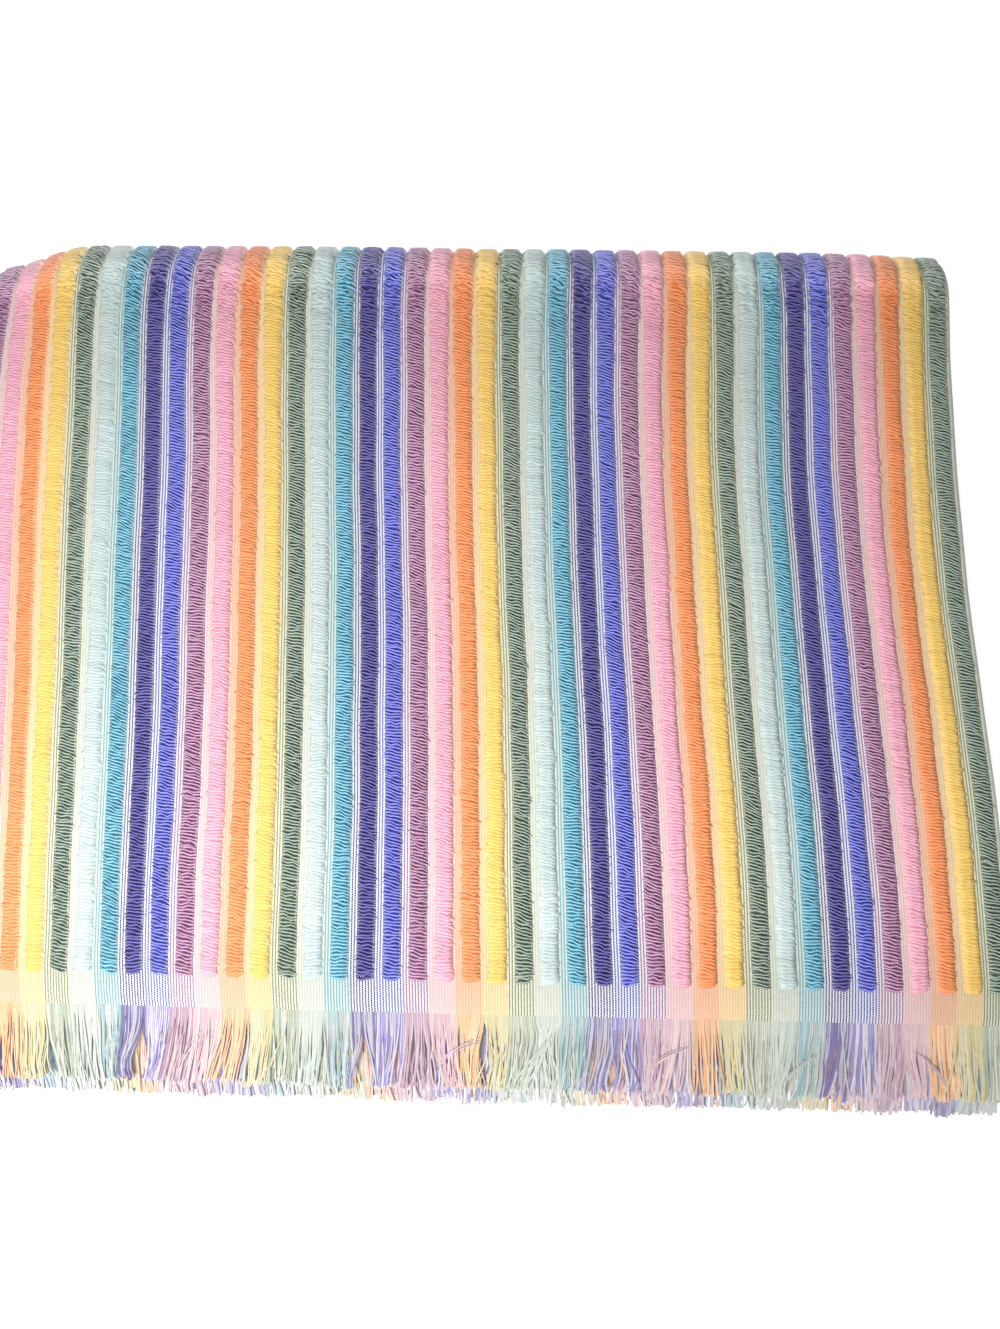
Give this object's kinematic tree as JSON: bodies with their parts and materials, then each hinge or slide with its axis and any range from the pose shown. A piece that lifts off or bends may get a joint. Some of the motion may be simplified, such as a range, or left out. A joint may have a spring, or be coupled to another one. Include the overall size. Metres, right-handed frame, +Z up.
{
  "type": "folded fringed beach towel",
  "caption": "Beach towel of cotton with coloured ribs of loop pile, flat woven headings and fringed ends, folded in half lengthwise and twice crosswise.",
  "frame": {"origin": "middle of the underside of the box around the folded towel, on the surface that it lies on", "axes": "+X along the far fold towards the lengthwise fold, +Y from the fringes to the far fold, +Z up"},
  "size_m": [0.5154, 0.4734, 0.0358],
  "materials": {
    "striped_terry": "cotton loop pile in ribs of nine colours with flat pale ground cloth between them",
    "fringe_yarn": "loose twisted cotton yarn in the pale tones of the ribs above"
  },
  "bodies": {
    "root": {"towel": "striped_terry", "fringe_top": "fringe_yarn", "fringe_under": "fringe_yarn"}
  },
  "joints": []
}
